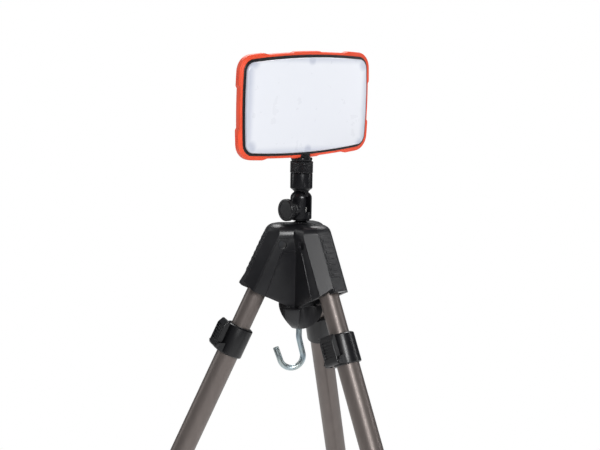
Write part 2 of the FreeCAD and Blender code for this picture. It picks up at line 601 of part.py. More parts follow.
# ------------------------------------------------------------------ swivel head
def tilt_fork():
    """Round fork with a rounded top, a pad for the knob, and a slot that the tongue swings in."""
    body = revolve([(0, FORK_BASE), (9.4, FORK_BASE), (10.0, FORK_BASE + 0.6), (10.0, FORK_SHOULDER - 0.3),
                    (FORK_RADIUS - 0.6, FORK_SHOULDER), (FORK_RADIUS, FORK_SHOULDER + 0.6),
                    (FORK_RADIUS, FORK_TOP), (0, FORK_TOP)])
    body = body.makeFillet(FORK_ROUNDING, edges_at(body, lambda p: abs(p.z - FORK_TOP) < 1e-4))
    arch_half = FORK_RADIUS + 0.3
    arch = box(-20, 20, -arch_half, arch_half, 0, FORK_TOP)
    arch = arch.makeFillet(FORK_ARCH, edges_at(arch, lambda p: abs(p.z - FORK_TOP) < 1e-4
                                               and abs(abs(p.y) - arch_half) < 1e-4))
    body = body.common(arch)
    pad = cylinder(FORK_PAD_RADIUS, (-FORK_PAD, 0, TILT_HEIGHT), (-8, 0, TILT_HEIGHT))
    body = body.fuse(pad)
    half = SLOT_WIDTH / 2
    tongue_room = box(-half, half, -SLOT_ROOM, SLOT_ROOM, TILT_HEIGHT, TILT_HEIGHT + 40)
    tongue_room = tongue_room.fuse(cylinder(SLOT_ROOM, (-half, 0, TILT_HEIGHT), (half, 0, TILT_HEIGHT)))
    for lean in (-TILT_RANGE, TILT_RANGE):
        body = body.cut(turned(tongue_room, lean, X_AXIS, (0, 0, TILT_HEIGHT)))
    body = body.cut(box(-half, half, -20, 20, TILT_HEIGHT, FORK_TOP + 1))
    body = body.cut(cylinder(STUD_RADIUS + RUNNING_GAP, (0, 0, 0), (0, 0, TILT_HEIGHT)))
    body = body.cut(clamp_bolt_hole())
    body = body.cut(box(FORK_FLAT, 20, -20, 20, FORK_SHOULDER - 1, FORK_TOP + 1))
    return body.cut(clamp_nut_block()).removeSplitter()


def clamp_bolt_hole():
    return cylinder(CLAMP_BOLT_RADIUS + RUNNING_GAP, (-20, 0, TILT_HEIGHT), (20, 0, TILT_HEIGHT))


def clamp_nut_block():
    """Hexagon of the clamp nut, which sits in the fork's +X ear."""
    corners = []
    for i in range(6):
        angle = radians(60 * i)
        corners.append(Vector(FORK_RADIUS - 3.8, 4.7 * cos(angle), TILT_HEIGHT + 4.7 * sin(angle)))
    return Part.Face(Part.makePolygon(corners + corners[:1])).extrude(Vector(3.4, 0, 0))


def clamp_nut():
    hole = cylinder(CLAMP_BOLT_RADIUS + RUNNING_GAP, (0, 0, TILT_HEIGHT), (20, 0, TILT_HEIGHT))
    return clamp_nut_block().cut(hole)


def friction_washers():
    washers = []
    for side in (1, -1):
        outer, inner = SLOT_WIDTH / 2, SLOT_WIDTH / 2 - WASHER_THICKNESS
        washers.append(tube(5.4, CLAMP_BOLT_RADIUS + RUNNING_GAP, (side * inner, 0, TILT_HEIGHT),
                            (side * outer, 0, TILT_HEIGHT)))
    return Part.makeCompound(washers)


def clamp_knob():
    """Disc knob on the -X side, with a finely notched rim and a shallow dished face."""
    inner = -FORK_PAD - BODY_GAP
    step, outer = inner - 3.4, inner - KNOB_THICKNESS
    collar = cylinder(KNOB_RADIUS - 1.0, (inner, 0, TILT_HEIGHT), (step, 0, TILT_HEIGHT))
    disc = cylinder(KNOB_RADIUS, (step, 0, TILT_HEIGHT), (outer, 0, TILT_HEIGHT))
    disc = disc.makeFillet(1.4, edges_at(disc, lambda p: hypot(p.y, p.z - TILT_HEIGHT) > KNOB_RADIUS - 1e-3
                                         and abs(p.x - (step + outer) / 2) > 1))
    knob = collar.fuse(disc)
    notch = cylinder(0.55, (step - 0.9, 0, TILT_HEIGHT + KNOB_RADIUS + 0.15),
                     (outer + 0.9, 0, TILT_HEIGHT + KNOB_RADIUS + 0.15))
    notches = [turned(notch, 360.0 * i / 36, X_AXIS, (0, 0, TILT_HEIGHT)) for i in range(36)]
    knob = knob.cut(Part.makeCompound(notches))
    dish = cylinder(KNOB_RADIUS - 3.4, (outer - 1, 0, TILT_HEIGHT), (outer + 0.5, 0, TILT_HEIGHT))
    bolt_hole = cylinder(CLAMP_BOLT_RADIUS, (inner + 1, 0, TILT_HEIGHT), (inner - 6, 0, TILT_HEIGHT))
    return knob.cut(dish).cut(bolt_hole).removeSplitter()


def clamp_bolt():
    inner = -FORK_PAD - BODY_GAP
    return cylinder(CLAMP_BOLT_RADIUS, (inner - 6, 0, TILT_HEIGHT), (FORK_RADIUS - 0.6, 0, TILT_HEIGHT))


def swivel_barrel():
    """Tongue in the fork's slot, round neck, and the barrel whose upper core carries the knurled nut."""
    half = TONGUE_THICKNESS / 2
    round_end = cylinder(TONGUE_RADIUS, (-half, 0, TILT_HEIGHT), (half, 0, TILT_HEIGHT))
    blade = box(-half, half, -TONGUE_RADIUS, TONGUE_RADIUS, TILT_HEIGHT, BARREL_BOTTOM)
    wide = NECK_RADIUS - 0.2
    wide_blade = box(-half, half, -wide, wide, TONGUE_SHOULDER, BARREL_BOTTOM)
    neck_low = FORK_TOP + 0.7
    solid = revolve([(0, neck_low), (NECK_RADIUS - 0.8, neck_low),
                     (NECK_RADIUS, neck_low + 0.8), (NECK_RADIUS, BARREL_BOTTOM),
                     (BARREL_RADIUS - 1.3, BARREL_BOTTOM), (BARREL_RADIUS, BARREL_BOTTOM + 1.6),
                     (BARREL_RADIUS, KNURL_BOTTOM - 0.9), (BARREL_RADIUS - 0.5, KNURL_BOTTOM - 0.4),
                     (8.0, KNURL_BOTTOM - 0.4), (8.0, KNURL_TOP + 0.4), (0, KNURL_TOP + 0.4)])
    body = fuse([round_end, blade, wide_blade, solid])
    body = body.cut(clamp_bolt_hole())
    body = body.cut(cylinder(STUD_RADIUS, (0, 0, KNURL_BOTTOM), (0, 0, KNURL_TOP + 1)))
    dimple = cylinder(0.8, (0, -BARREL_RADIUS - 1, 46.5), (0, -BARREL_RADIUS + 0.5, 46.5))
    return body.cut(turned(dimple, -26)).removeSplitter()


def knurled_nut():
    """Ring with a diamond knurl between two plain bands."""
    inner = 8.0 + RUNNING_GAP
    low, high = KNURL_BOTTOM, KNURL_TOP
    ring = revolve([(inner, low), (KNURL_RADIUS - 0.5, low), (KNURL_RADIUS, low + 0.5),
                    (KNURL_RADIUS, high - 0.5), (KNURL_RADIUS - 0.5, high), (inner, high)])
    grooves = []
    for lean in (32, -32):
        groove = box(KNURL_RADIUS - 0.45, KNURL_RADIUS + 1, -0.3, 0.3, -8.2, 8.2)
        groove = turned(groove, lean, X_AXIS)
        groove.translate(Vector(0, 0, (low + high) / 2))
        grooves += around(groove, 28, 360.0 / 56 * (lean > 0))
    band = tube(KNURL_RADIUS + 2, inner - 1, (0, 0, low + 1.0), (0, 0, high - 1.0))
    return ring.cut(Part.makeCompound(grooves).common(band)).removeSplitter()


def seat_disc():
    inner, low = SEAT_RADIUS - 0.5, KNURL_TOP + 0.4
    return revolve([(STUD_RADIUS, low), (inner, low), (inner, low + 1.0), (SEAT_RADIUS, low + 1.5),
                    (SEAT_RADIUS, SEAT_TOP - 0.5), (inner, SEAT_TOP), (STUD_RADIUS, SEAT_TOP)])


def mount_stud():
    return cylinder(STUD_RADIUS, (0, 0, KNURL_BOTTOM), (0, 0, SEAT_TOP + 13.0))


# ------------------------------------------------------------------ lamp head
def lamp_place():
    """Placement of the lamp's shapes: a slight lean about the top of the seat disc."""
    turn = Rotation(X_AXIS, LAMP_TILT).multiply(Rotation(Y_AXIS, LAMP_ROLL))
    pivot = Vector(0, 0, SEAT_TOP)
    return Placement(pivot - turn.multVec(pivot), turn)


def on_lamp(shape):
    copy = shape.copy()
    copy.Placement = lamp_place().multiply(copy.Placement)
    return copy


def upright(shape):
    """The opposite of on_lamp: keeps a shape plumb once the lamp has been leant."""
    copy = shape.copy()
    copy.Placement = lamp_place().inverse().multiply(copy.Placement)
    return copy


def lamp_corner(offset):
    """Centre and tangent points of the outline's upper right corner arc, as (x, z) pairs."""
    side_centre = (LENS_HALF_WIDTH - SIDE_BOW_RADIUS, 0.0)
    top_centre = (0.0, LENS_HALF_HEIGHT - TOP_BOW_RADIUS)
    to_side, to_top = SIDE_BOW_RADIUS - CORNER_RADIUS, TOP_BOW_RADIUS - CORNER_RADIUS
    dx, dz = top_centre[0] - side_centre[0], top_centre[1] - side_centre[1]
    apart = hypot(dx, dz)
    along = (to_side ** 2 - to_top ** 2 + apart ** 2) / (2 * apart)
    across = sqrt(to_side ** 2 - along ** 2)
    ux, uz = dx / apart, dz / apart
    centre = (side_centre[0] + along * ux - across * uz, side_centre[1] + along * uz + across * ux)
    side_grow = (SIDE_BOW_RADIUS + offset) / to_side
    top_grow = (TOP_BOW_RADIUS + offset) / to_top
    on_side = (side_centre[0] + (centre[0] - side_centre[0]) * side_grow,
               side_centre[1] + (centre[1] - side_centre[1]) * side_grow)
    on_top = (top_centre[0] + (centre[0] - top_centre[0]) * top_grow,
              top_centre[1] + (centre[1] - top_centre[1]) * top_grow)
    return centre, on_side, on_top


def lamp_outline(offset, y):
    """The lamp's outline, grown by an offset, as a wire at one depth."""
    centre, on_side, on_top = lamp_corner(offset)
    halfway = ((on_side[0] + on_top[0]) / 2 - centre[0], (on_side[1] + on_top[1]) / 2 - centre[1])
    grow = (CORNER_RADIUS + offset) / hypot(*halfway)
    corner = (centre[0] + halfway[0] * grow, centre[1] + halfway[1] * grow)
    width, height = LENS_HALF_WIDTH + offset, LENS_HALF_HEIGHT + offset

    def at(point, sx=1, sz=1):
        return Vector(sx * point[0], y, LAMP_HEIGHT + sz * point[1])

    arcs = [(at(on_side, 1, -1), at((width, 0)), at(on_side)), (at(on_side), at(corner), at(on_top)),
            (at(on_top), at((0, height)), at(on_top, -1)),
            (at(on_top, -1), at(corner, -1), at(on_side, -1)),
            (at(on_side, -1), at((width, 0), -1), at(on_side, -1, -1)),
            (at(on_side, -1, -1), at(corner, -1, -1), at(on_top, -1, -1)),
            (at(on_top, -1, -1), at((0, height), 1, -1), at(on_top, 1, -1)),
            (at(on_top, 1, -1), at(corner, 1, -1), at(on_side, 1, -1))]
    return Part.Wire([Part.Arc(*points).toShape() for points in arcs])


def lamp_slab(offset, y0, y1):
    return Part.Face(lamp_outline(offset, y0)).extrude(Vector(0, y1 - y0, 0))


def lamp_taper(offset0, y0, offset1, y1):
    return Part.makeLoft([lamp_outline(offset0, y0), lamp_outline(offset1, y1)], True, True)


def socket_boss(grow=0.0):
    """Block at the bottom of the housing that holds the stud socket, wider at its foot."""
    foot, waist = 6.6 + grow, 5.6 + grow
    low, high = SEAT_TOP + 0.6, SOCKET_TOP + 1.6 + grow
    profile = [(-foot, 0, low), (foot, 0, low), (foot, 0, low + 1.4), (waist, 0, low + 4.9),
               (waist, 0, high), (-waist, 0, high), (-waist, 0, low + 4.9), (-foot, 0, low + 1.4)]
    block = prism(profile, (0, 12.7 + 2 * grow, 0))
    block.translate(Vector(0, -6.3 - grow, 0))
    return block


def diffuser_lens():
    """Milky pillow-shaped cover, hollow behind."""
    slab = lamp_slab(0, LENS_FRONT - LENS_DOME - 2, -3.0)
    reach = hypot(LENS_HALF_WIDTH, LENS_HALF_HEIGHT)
    ball_radius = (reach ** 2 + LENS_DOME ** 2) / (2 * LENS_DOME)
    ball = Part.makeSphere(ball_radius, Vector(0, LENS_FRONT - LENS_DOME + ball_radius, LAMP_HEIGHT))
    lens = slab.common(ball)
    rim = edges_at(lens, lambda p: p.y < LENS_FRONT + 0.5)
    lens = lens.makeFillet(2.4, rim)
    lens = lens.cut(lamp_slab(-2.2, LENS_FRONT + 2.4, 0))
    return lens.cut(socket_boss(0.2))


def lens_gasket():
    ring = lamp_slab(GASKET_OFFSET, GASKET_FRONT, -2.4)
    ring = ring.makeFillet(1.3, edges_at(ring, lambda p: abs(p.y - GASKET_FRONT) < 1e-4))
    return ring.cut(lamp_slab(0, -20, 10)).cut(socket_boss())


def guards(region, offset):
    """The guards over one region of the frame and its mirror images, out of a larger outline."""
    slab = lamp_slab(offset, BUMPER_FRONT + 0.6, BUMPER_BACK - 0.6)
    slab = slab.makeFillet(1.5, edges_at(slab, lambda p: min(abs(p.y - BUMPER_FRONT - 0.6),
                                                             abs(p.y - BUMPER_BACK + 0.6)) < 1e-4))
    block = prism([(x, -20, LAMP_HEIGHT + z) for x, z in region], (0, 40, 0))
    blocks = [block, block.mirror(Vector(), X_AXIS)]
    blocks += [shape.mirror(Vector(0, 0, LAMP_HEIGHT), Z_AXIS) for shape in blocks]
    return [slab.common(shape) for shape in blocks]


def bumper_frame():
    """Soft orange frame round the lamp, with thicker guards at the corners and in the middle."""
    body = lamp_slab(BUMPER_OFFSET, BUMPER_FRONT, BUMPER_BACK)
    body = body.makeFillet(1.8, edges_at(body, lambda p: min(abs(p.y - BUMPER_FRONT),
                                                             abs(p.y - BUMPER_BACK)) < 1e-4))
    frame = body.multiFuse(guards(CORNER_GUARD, GUARD_OFFSET) + guards(MIDDLE_GUARD, MIDDLE_GUARD_OFFSET))
    frame = frame.cut(lamp_slab(GASKET_OFFSET, -20, 20))
    grooves = []
    for side in (-1, 1):
        x = side * (LENS_HALF_WIDTH + GUARD_OFFSET - 0.6)
        for up in (-1, 1):
            for i in range(RIB_COUNT):
                z = LAMP_HEIGHT + up * (RIB_START + i * RIB_PITCH)
                grooves.append(box(x - 1.0, x + 1.0, BUMPER_FRONT + 2.2, BUMPER_BACK - 2.2,
                                   z - 0.55, z + 0.55))
    frame = frame.cut(Part.makeCompound(grooves))
    notch = box(-7.2, 7.2, -20, 20, 60, 82)
    seat_room = cylinder(SEAT_RADIUS + BODY_GAP, (0, 0, 60), (0, 0, SEAT_TOP + BODY_GAP))
    return frame.cut(notch).cut(upright(seat_room)).removeSplitter()


def battery_pod(inset, y0, y1):
    """Raised block on the back that makes room for the battery cells."""
    half, low, high = POD_HALF_WIDTH - inset, LAMP_HEIGHT + POD_LOW + inset, LAMP_HEIGHT + POD_HIGH - inset
    return prism([(-half, y0, low), (half, y0, low), (half, y0, high), (-half, y0, high)],
                 (0, y1 - y0, 0), POD_CORNER - inset)


def rear_housing():
    """Tapered back shell with the socket boss, four screw bosses, the button seat and the port window."""
    shell = lamp_slab(GASKET_OFFSET, -2.4, BUMPER_BACK + 0.4)
    back = lamp_taper(1.0, BUMPER_BACK + 0.2, TAPER_OFFSET, TAPER_BACK)
    back = back.makeFillet(1.5, edges_at(back, lambda p: abs(p.y - TAPER_BACK) < 1e-4))
    pod = battery_pod(0.0, TAPER_BACK - 1, HOUSING_BACK)
    pod = pod.makeFillet(3.0, edges_at(pod, lambda p: abs(p.y - HOUSING_BACK) < 1e-4))
    shell = shell.multiFuse([back, pod])
    inside = HOUSING_BACK - HOUSING_WALL
    shell = shell.cut(lamp_slab(0.4, -3, BUMPER_BACK))
    shell = shell.cut(lamp_taper(-1.8, BUMPER_BACK - 0.5, TAPER_OFFSET - 1.4, TAPER_BACK - HOUSING_WALL))
    shell = shell.cut(battery_pod(HOUSING_WALL, TAPER_BACK - 4, inside))
    for x, z in SCREW_PLACES:
        shell = shell.fuse(cylinder(3.6, (x, 2.0, z), (x, inside + 0.5, z)))
    for i in range(7):
        z = LAMP_HEIGHT + 1.0 + i * 3.4
        shell = shell.cut(box(-46, 46, HOUSING_BACK - 0.8, HOUSING_BACK + 1, z, z + 1.8))
    shell = shell.fuse(socket_boss())
    shell = shell.cut(upright(cylinder(SOCKET_RADIUS, (0, 0, 70), (0, 0, SOCKET_TOP))))
    for x, z in SCREW_PLACES:
        shell = shell.cut(cylinder(2.9, (x, HOUSING_BACK - 1.3, z), (x, 30, z)))
        shell = shell.cut(cylinder(1.5, (x, 8, z), (x, 30, z)))
    button_x, port_x = BUTTON_PLACE[0], PORT_PLACE[0]
    shell = shell.cut(cylinder(BUTTON_RADIUS + BODY_GAP, (button_x, 10, BUTTON_PLACE[1]),
                               (button_x, 30, BUTTON_PLACE[1])))
    shell = shell.cut(box(port_x - 4.6, port_x + 4.6, 16, 30, PORT_PLACE[1] - 1.7, PORT_PLACE[1] + 1.7))
    hinge_z = PORT_PLACE[1] + PORT_HINGE_RISE
    for side in (-1, 1):
        ear = box(min(side * 6.9, side * 8.6) + port_x, max(side * 6.9, side * 8.6) + port_x,
                  HOUSING_BACK - 0.5, PORT_HINGE_Y + 1.7, hinge_z - 1.7, hinge_z + 1.7)
        shell = shell.fuse(ear)
    pin_hole = cylinder(FLAP_PIN_RADIUS + RUNNING_GAP, (port_x - 7.9, PORT_HINGE_Y, hinge_z),
                        (port_x + 7.9, PORT_HINGE_Y, hinge_z))
    return shell.cut(pin_hole).removeSplitter()


def reflector_tray():
    """White sloping frame between the lens and the LED board."""
    outer = lamp_slab(-2.6, -7.0, -1.8)
    inner = lamp_taper(-3.6, -7.2, -9.0, -1.6)
    tray = outer.cut(inner)
    bosses = [cylinder(4.2, (x, -7.0, z), (x, -1.8, z)) for x, z in BOSS_PLACES]
    bosses.append(box(-5.5, 5.5, -7.0, -1.8, LAMP_HEIGHT + 38, LAMP_HEIGHT + 47))
    bosses.append(box(-7.6, 7.6, -7.0, -1.8, LAMP_HEIGHT - 47, LAMP_HEIGHT - 37.5))
    tray = tray.multiFuse(bosses)
    return tray.cut(socket_boss(0.2)).removeSplitter()


def led_board():
    return lamp_slab(-3.0, -1.6, 0.0).cut(socket_boss(0.2))


def led_chips():
    chips = []
    for row in range(LED_ROWS):
        for column in range(LED_COLUMNS):
            x = (column - (LED_COLUMNS - 1) / 2) * LED_PITCH_X
            z = LAMP_HEIGHT + (row - (LED_ROWS - 1) / 2) * LED_PITCH_Z
            chips.append(box(x - 1.75, x + 1.75, -2.3, -1.6, z - 1.4, z + 1.4))
    return Part.makeCompound(chips)


def heat_spreader():
    return lamp_slab(-6.0, 0.0, 1.4).cut(socket_boss(0.2))


def battery_cells():
    """Two round lithium cells, end to end."""
    cells = []
    for x0 in (-CELL_LENGTH - 2.0, 2.0):
        can_end, nub_end = x0 + CELL_LENGTH - 1.5, x0 + CELL_LENGTH
        can = cylinder(CELL_RADIUS, (x0, CELL_Y, CELL_Z), (can_end, CELL_Y, CELL_Z))
        nub = cylinder(3.0, (can_end, CELL_Y, CELL_Z), (nub_end, CELL_Y, CELL_Z))
        cells.append(can.fuse(nub))
    return Part.makeCompound(cells)


def battery_cradle():
    """Trough under the cells, with a wall at each end and one between the cells."""
    end, wall = CELL_LENGTH + 4.0, CELL_LENGTH + 2.4
    cradle = box(-end, end, 2.0, 17.0, CELL_Z - 11.0, CELL_Z - 3.0)
    for x0, x1 in ((-end, -wall), (-1.0, 1.0), (wall, end)):
        cradle = cradle.fuse(box(x0, x1, 2.0, 17.0, CELL_Z - 11.0, CELL_Z + 6.0))
    for x0, x1 in ((-wall, -1.0), (1.0, wall)):
        cradle = cradle.cut(cylinder(CELL_RADIUS + RUNNING_GAP, (x0, CELL_Y, CELL_Z), (x1, CELL_Y, CELL_Z)))
    return cradle.removeSplitter()


def control_board():
    board = box(-50.0, 52.0, 14.0, 15.6, LAMP_HEIGHT - 30.0, LAMP_HEIGHT - 6.0)
    parts = [box(-8, 4, 12.2, 14.0, LAMP_HEIGHT - 26, LAMP_HEIGHT - 16),
             box(10, 20, 9.5, 14.0, LAMP_HEIGHT - 28, LAMP_HEIGHT - 18),
             cylinder(2.6, (-16, 8.5, LAMP_HEIGHT - 22), (-16, 14.0, LAMP_HEIGHT - 22))]
    return board.multiFuse(parts).removeSplitter()


def charge_port():
    x, z = PORT_PLACE
    port = box(x - 4.5, x + 4.5, 15.6, HOUSING_BACK - 0.2, z - 1.6, z + 1.6)
    return port.cut(box(x - 4.1, x + 4.1, 17.6, HOUSING_BACK + 1, z - 1.2, z + 1.2))


def port_cover():
    """Rubber flap that swings up on two small pins."""
    x, z = PORT_PLACE
    hinge_z = z + PORT_HINGE_RISE
    flap = box(x - 6.4, x + 6.4, HOUSING_BACK + 0.3, HOUSING_BACK + 2.1, z - 4.2, hinge_z - 1.3)
    flap = flap.makeFillet(1.4, edges_at(flap, lambda p: abs(abs(p.x - x) - 6.4) < 1e-4
                                         and abs(p.z - (z - 4.2)) < 1e-4))
    web = box(x - 6.4, x + 6.4, PORT_HINGE_Y - 0.5, PORT_HINGE_Y + 0.6, hinge_z - 1.5, hinge_z)
    eye = cylinder(FLAP_PIN_RADIUS, (x - 7.7, PORT_HINGE_Y, hinge_z), (x + 7.7, PORT_HINGE_Y, hinge_z))
    grip = box(x - 3.0, x + 3.0, HOUSING_BACK + 1.8, HOUSING_BACK + 2.9, z - 3.6, z - 2.6)
    return flap.multiFuse([web, eye, grip]).removeSplitter()


def power_button():
    """Round push button with a stem that reaches the switch on the control board."""
    x, z = BUTTON_PLACE
    cap = cylinder(BUTTON_RADIUS, (x, HOUSING_BACK - 1.8, z), (x, HOUSING_BACK + 1.6, z))
    cap = cap.makeFillet(1.0, edges_at(cap, lambda p: abs(p.y - HOUSING_BACK - 1.6) < 1e-4
                                       and hypot(p.x - x, p.z - z) > 1))
    stem = cylinder(2.0, (x, HOUSING_BACK - 4.4, z), (x, HOUSING_BACK - 1.8, z))
    return cap.fuse(stem).removeSplitter()


def stud_socket():
    """Brass sleeve for the camera stud."""
    return tube(SOCKET_RADIUS, STUD_RADIUS + RUNNING_GAP, (0, 0, SEAT_TOP + 1.0), (0, 0, SOCKET_TOP))


# ------------------------------------------------------------------ make every node
def main():
    os.makedirs("parts", exist_ok=True)
    shell = hub_shell()
    save("hub_shell", shell)
    save("hub_core", hub_core(shell))
    pivot_pin = cylinder(PIVOT_PIN_RADIUS, (PIVOT_RADIUS, -PIVOT_PIN_HALF, PIVOT_Z),
                         (PIVOT_RADIUS, PIVOT_PIN_HALF, PIVOT_Z))
    save("leg_pivot_pins", *around(pivot_pin, 3, -90))
    lid_screw = pan_head_screw(3.2, 1.9, 1.9, 3.4)
    lid_screw.translate(Vector(HUB_SCREW_RADIUS, 0, -2.6))
    save("hub_screws", *around(lid_screw, 3, -90))
    save("stud_washer", stud_washer())
    save("fork_stud", cylinder(STUD_RADIUS, (0, 0, -23.9), (0, 0, FORK_STUD_TOP)))
    save("weight_hook", weight_hook())
    save("hook_nut", hook_nut())
    for name, azimuth, lever_turn in LEGS:
        save(f"{name}_leg_knuckle", on_leg(leg_knuckle(), azimuth))
        save(f"{name}_upper_tube", on_leg(upper_tube(), azimuth))
        save(f"{name}_slide_bush", on_leg(slide_bush(), azimuth))
        save(f"{name}_lower_tube", on_leg(lower_tube(), azimuth))
        save(f"{name}_lock_collar", on_leg(turned(lock_collar(), lever_turn), azimuth))
        save(f"{name}_lock_lever", on_leg(turned(lock_lever(), lever_turn), azimuth))
        save(f"{name}_lever_pin", on_leg(turned(lever_pin(), lever_turn), azimuth))
        save(f"{name}_foot", foot_in_place(azimuth))
    save("tilt_fork", tilt_fork())
    save("clamp_nut", clamp_nut())
    save("friction_washers", friction_washers())
    save("clamp_knob", clamp_knob())
    save("clamp_bolt", clamp_bolt())
    save("swivel_barrel", swivel_barrel())
    save("knurled_nut", knurled_nut())
    save("seat_disc", seat_disc())
    save("mount_stud", mount_stud())
    save("stud_socket", stud_socket())
    save("diffuser_lens", on_lamp(diffuser_lens()))
    save("lens_gasket", on_lamp(lens_gasket()))
    save("bumper_frame", on_lamp(bumper_frame()))
    save("rear_housing", on_lamp(rear_housing()))
    save("reflector_tray", on_lamp(reflector_tray()))
    save("led_board", on_lamp(led_board()))
    save("led_chips", on_lamp(led_chips()))
    save("heat_spreader", on_lamp(heat_spreader()))
    save("battery_cells", on_lamp(battery_cells()))
    save("battery_cradle", on_lamp(battery_cradle()))
    save("control_board", on_lamp(control_board()))
    save("charge_port", on_lamp(charge_port()))
    save("port_cover", on_lamp(port_cover()))
    save("power_button", on_lamp(power_button()))
    housing_screw = pan_head_screw(2.6, 1.1, 1.5, 12.0)
    housing_screw.rotate(Vector(), X_AXIS, -90)
    screws = []
    for x, z in SCREW_PLACES:
        screw = housing_screw.copy()
        screw.translate(Vector(x, HOUSING_BACK - 1.3, z))
        screws.append(on_lamp(screw))
    save("housing_screws", *screws)


main()
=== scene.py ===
import json
from math import cos, pi, radians, sin

import bpy
from mathutils import Matrix, Vector


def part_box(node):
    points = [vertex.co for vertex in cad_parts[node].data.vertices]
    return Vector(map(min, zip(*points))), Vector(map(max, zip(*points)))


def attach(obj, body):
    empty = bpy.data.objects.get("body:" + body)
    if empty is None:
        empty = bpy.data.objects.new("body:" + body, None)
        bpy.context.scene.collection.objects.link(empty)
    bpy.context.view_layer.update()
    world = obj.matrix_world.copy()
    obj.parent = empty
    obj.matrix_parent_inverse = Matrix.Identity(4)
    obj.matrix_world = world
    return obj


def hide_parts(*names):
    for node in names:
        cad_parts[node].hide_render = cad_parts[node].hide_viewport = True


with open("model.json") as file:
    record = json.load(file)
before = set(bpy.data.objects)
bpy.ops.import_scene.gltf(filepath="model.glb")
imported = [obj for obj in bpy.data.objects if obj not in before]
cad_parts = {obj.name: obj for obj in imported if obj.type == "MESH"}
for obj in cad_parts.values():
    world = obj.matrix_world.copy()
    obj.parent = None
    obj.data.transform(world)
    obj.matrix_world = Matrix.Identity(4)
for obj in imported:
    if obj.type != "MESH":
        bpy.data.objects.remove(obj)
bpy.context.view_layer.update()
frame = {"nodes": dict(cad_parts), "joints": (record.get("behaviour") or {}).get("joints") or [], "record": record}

# A work light on a tripod.  Metres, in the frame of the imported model: +Z up, the lamp faces -Y.
NODES = frame["nodes"]
JOINTS = {joint["name"]: joint for joint in frame["joints"]}
HUB_TOP = Vector(JOINTS["head_turn"]["pos_m"])
scene = bpy.context.scene

# ------------------------------------------------------------------ camera
CAMERA_YAW = radians(41.5)          # turned from the lamp's front towards its right-hand side
CAMERA_PITCH = radians(7.27)        # looking down
CAMERA_ROLL = radians(0.92)
CAMERA_DISTANCE = 1.3027            # from the hub's axis, level
CAMERA_RISE = 0.1638                # above the hub's top
CAMERA_SIDE = -0.00075
CAMERA_LENS = 70.43
AMBIENT = 0.1                       # studio light from all round
FLOOR_RADIUS = 1.9
AIM_RISE = 0.02                     # the lights aim at a point this far above the hub's top

right = Vector((cos(CAMERA_YAW), -sin(CAMERA_YAW), 0))
away = Vector((sin(CAMERA_YAW), cos(CAMERA_YAW), 0))
up = Vector((0, 0, 1))


def add_camera():
    forward = away * cos(CAMERA_PITCH) - up * sin(CAMERA_PITCH)
    level_up = right.cross(forward)
    camera_right = right * cos(CAMERA_ROLL) + level_up * sin(CAMERA_ROLL)
    camera_up = level_up * cos(CAMERA_ROLL) - right * sin(CAMERA_ROLL)
    data = bpy.data.cameras.new("camera")
    data.lens = CAMERA_LENS
    data.sensor_width = 36.0
    data.clip_end = 50.0
    camera = bpy.data.objects.new("camera", data)
    place = Matrix((camera_right, camera_up, -forward)).transposed().to_4x4()
    place.translation = HUB_TOP + right * CAMERA_SIDE - away * CAMERA_DISTANCE + up * CAMERA_RISE
    camera.matrix_world = place
    scene.collection.objects.link(camera)
    scene.camera = camera


# ------------------------------------------------------------------ light and floor
def area_light(name, offset, size, power):
    """A soft box at an offset (right, away, up) from the hub's top, aimed near it."""
    data = bpy.data.lights.new(name, "AREA")
    data.shape = "RECTANGLE"
    data.size, data.size_y = size
    data.energy = power
    light = bpy.data.objects.new(name, data)
    light.location = HUB_TOP + right * offset[0] + away * offset[1] + up * offset[2]
    towards = HUB_TOP + up * AIM_RISE - light.location
    light.rotation_euler = towards.to_track_quat("-Z", "Y").to_euler()
    scene.collection.objects.link(light)


def add_lights():
    area_light("front_light", (0.35, -1.8, 0.75), (0.45, 0.8), 28.0)
    area_light("left_light", (-1.5, 0.3, 0.5), (0.2, 1.3), 4.0)
    area_light("right_light", (1.6, 0.1, 0.5), (0.25, 1.3), 4.0)
    area_light("top_light", (0.0, 1.0, 1.4), (1.6, 0.9), 34.0)
    world = bpy.data.worlds.new("studio")
    world.use_nodes = True
    tree = world.node_tree
    dim = tree.nodes["Background"]
    dim.inputs["Color"].default_value = (0.93, 0.96, 1.0, 1.0)
    dim.inputs["Strength"].default_value = AMBIENT
    white = tree.nodes.new("ShaderNodeBackground")
    white.inputs["Color"].default_value = (1.0, 1.0, 1.0, 1.0)
    path = tree.nodes.new("ShaderNodeLightPath")
    mix = tree.nodes.new("ShaderNodeMixShader")
    tree.links.new(path.outputs["Is Camera Ray"], mix.inputs["Fac"])
    tree.links.new(dim.outputs["Background"], mix.inputs[1])
    tree.links.new(white.outputs["Background"], mix.inputs[2])
    tree.links.new(mix.outputs["Shader"], tree.nodes["World Output"].inputs["Surface"])
    scene.world = world
    scene.view_settings.view_transform = "Standard"


